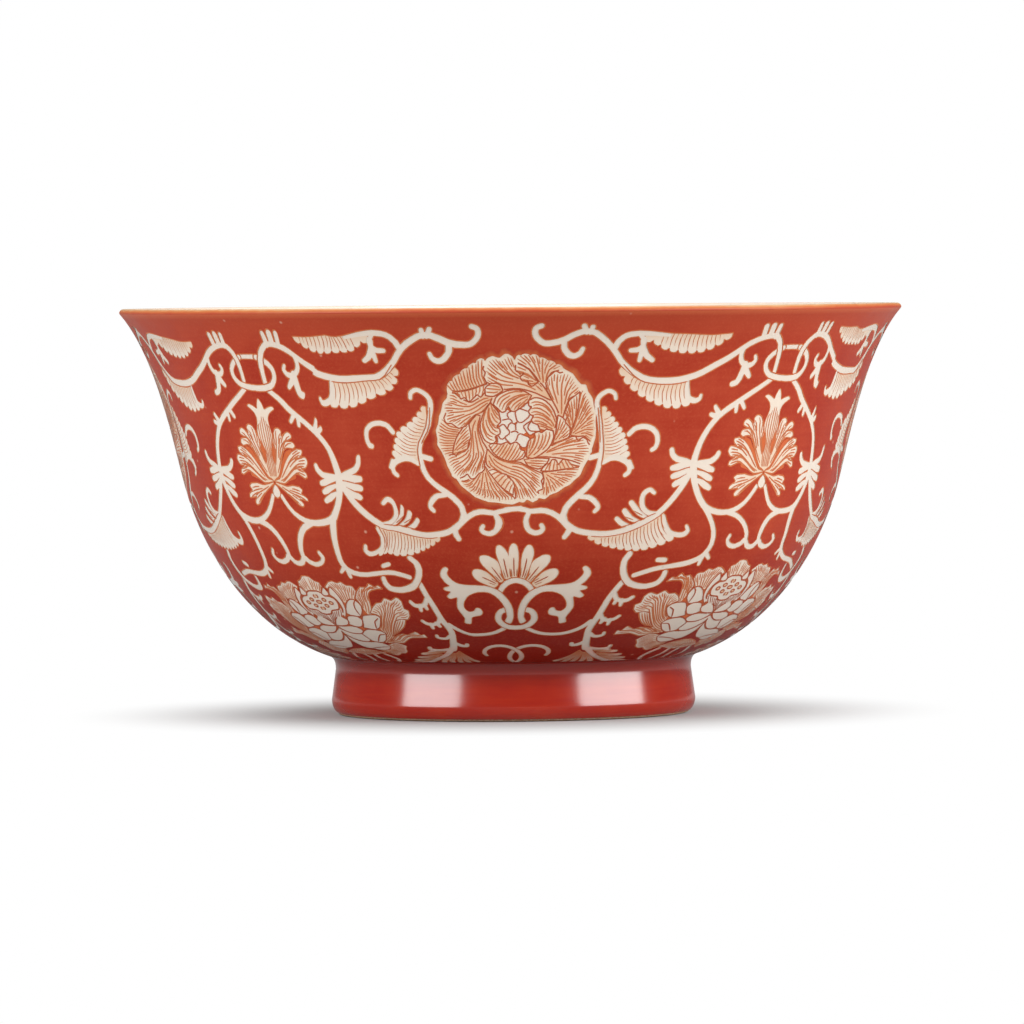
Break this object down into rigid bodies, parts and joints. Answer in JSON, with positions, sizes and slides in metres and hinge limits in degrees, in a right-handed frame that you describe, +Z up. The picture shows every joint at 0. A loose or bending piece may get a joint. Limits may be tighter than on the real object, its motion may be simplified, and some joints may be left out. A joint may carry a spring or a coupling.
{
  "type": "footed bowl",
  "caption": "Round porcelain bowl with a flared lip, a rounded belly and a short upright foot ring, enamelled coral red outside and white inside.",
  "frame": {"origin": "centre of the foot ring's resting face, on the bowl's axis", "axes": "+Z up along the bowl's axis, towards the mouth; the middle of one peony medallion faces -Y"},
  "size_m": [0.15, 0.15, 0.0782],
  "materials": {
    "paste": "bare fired porcelain paste, matt, seen only on the tread of the foot",
    "clear_glaze": "glossy clear glaze over white paste",
    "coral_enamel": "coral red enamel, glossy with a fine orange-peel",
    "lip_glaze": "thin ochre line of enamel over glaze on the rounded lip"
  },
  "bodies": {
    "root": {"thrown_body": "paste", "foot_ring": "paste", "inside_glaze": "clear_glaze", "outside_glaze": "clear_glaze", "base_glaze": "clear_glaze", "coral_foot_coat": "coral_enamel", "coral_wall_coat": "coral_enamel", "lip_edge": "lip_glaze"}
  },
  "joints": []
}
